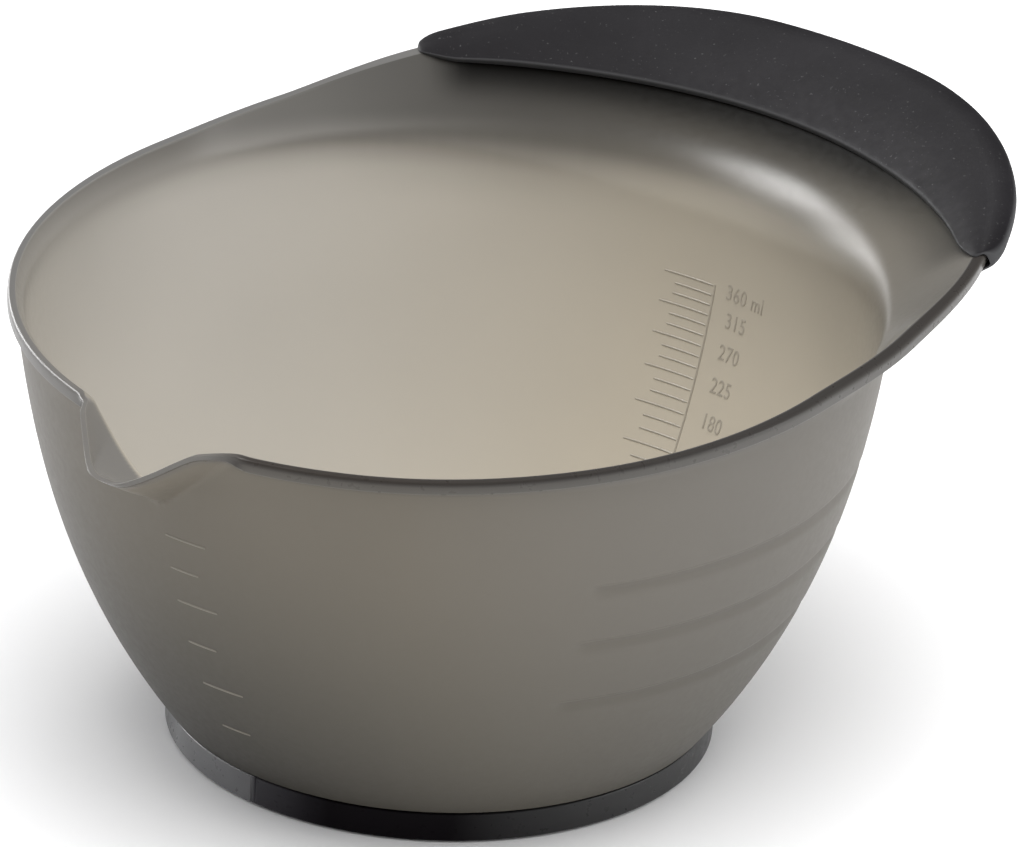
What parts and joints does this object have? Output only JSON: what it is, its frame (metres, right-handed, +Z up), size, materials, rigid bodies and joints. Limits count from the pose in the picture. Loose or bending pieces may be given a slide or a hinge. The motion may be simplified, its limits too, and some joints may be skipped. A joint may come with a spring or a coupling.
{
  "type": "mixing bowl",
  "caption": "Small round tapering mixing bowl with a pour spout, a flared wing handle with a crescent rubber grip, a moulded volume scale and an anti-slip foot ring.",
  "frame": {"origin": "middle of the footprint's bounding box, on the surface that the foot ring stands on", "axes": "+Z up; +Y from the spout towards the wing handle; +X across, with the object symmetric about the plane X = 0; the bowl's turning axis is at Y = -0.00863"},
  "size_m": [0.126, 0.1574, 0.079],
  "materials": {
    "smoke_plastic": "satin translucent smoke grey, injection moulded",
    "soft_grip_rubber": "soft-touch charcoal with a fine speckle",
    "foot_rubber": "smooth glossy black"
  },
  "bodies": {
    "root": {"bowl": "smoke_plastic", "handle_grip": "soft_grip_rubber", "foot_ring": "foot_rubber"}
  },
  "joints": []
}
